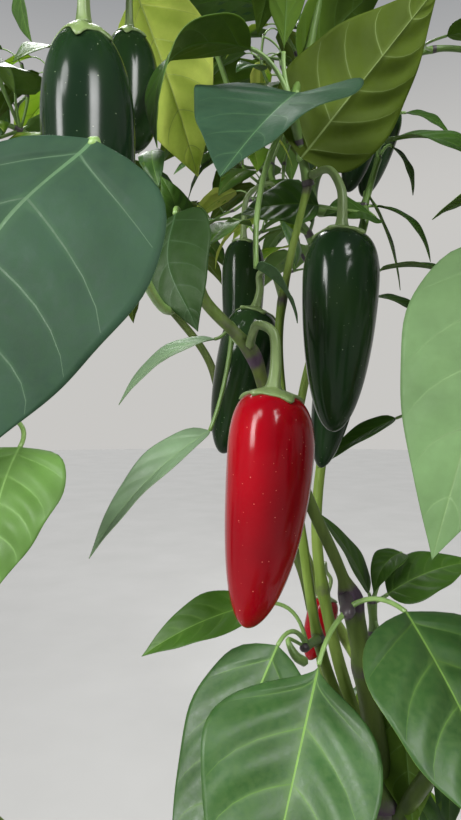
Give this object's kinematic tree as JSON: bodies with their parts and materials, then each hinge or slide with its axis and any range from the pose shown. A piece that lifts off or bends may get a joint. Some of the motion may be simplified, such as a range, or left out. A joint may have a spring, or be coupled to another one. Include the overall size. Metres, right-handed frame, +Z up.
{
  "type": "chilli pepper plant",
  "caption": "Bushy chilli pepper plant in fruit: a stem from the ground forks into slender boughs that carry masses of pointed leaves and hanging green and red pods.",
  "frame": {"origin": "middle of the flat cut under the main stem, at ground level", "axes": "+Z up, +Y the way the picture looks into the plant, +X to the right of the picture"},
  "size_m": [0.53, 0.403, 0.7086],
  "materials": {
    "stem": "smooth green stem, ridged, woody and browner towards the ground, dark purple at the nodes",
    "leaves": "matt to satin leaf green with paler veins, paler and yellower underneath",
    "stalk": "smooth pale green, lightly ridged",
    "green_fruit": "waxy high gloss, dark blackish green with small pale specks",
    "red_fruit": "waxy high gloss, full red with small pale specks"
  },
  "bodies": {
    "root": {"main_stem": "stem", "bough_front": "stem", "bough_middle": "stem", "bough_right_back": "stem", "bough_right": "stem", "bough_right_front": "stem", "bough_back": "stem", "bough_back_left": "stem", "bough_left_lower": "stem", "bough_left_upper": "stem", "bough_low_right": "stem", "pod_red_front": "red_fruit", "pod_green_right": "green_fruit", "pod_green_top": "green_fruit", "pod_green_top_behind": "green_fruit", "pod_green_middle": "green_fruit", "pod_green_behind": "green_fruit", "pod_pair_left": "green_fruit", "pod_pair_right": "green_fruit", "pod_green_low": "green_fruit", "pod_red_low": "red_fruit", "pod_right_outer": "green_fruit", "pod_right_inner": "red_fruit", "pod_right_front": "green_fruit", "pod_left": "green_fruit", "pod_back": "red_fruit", "pod_back_left": "green_fruit", "pod_low_right": "green_fruit", "leaves_fork_front": "leaves", "leaves_fork_left": "leaves", "leaves_fork_right": "leaves", "leaves_middle_left": "leaves", "leaves_top_left": "leaves", "leaves_top_middle": "leaves", "leaves_right_back": "leaves", "leaves_right": "leaves", "leaves_right_front": "leaves", "leaves_back": "leaves", "leaves_back_left": "leaves", "leaves_left": "leaves", "leaves_low_right": "leaves", "leaves_low_back": "leaves", "leaves_low_front": "leaves", "stalk_red_front": "stalk", "stalk_green_right": "stalk", "stalk_green_middle": "stalk", "stalk_red_low": "stalk"}
  },
  "joints": []
}
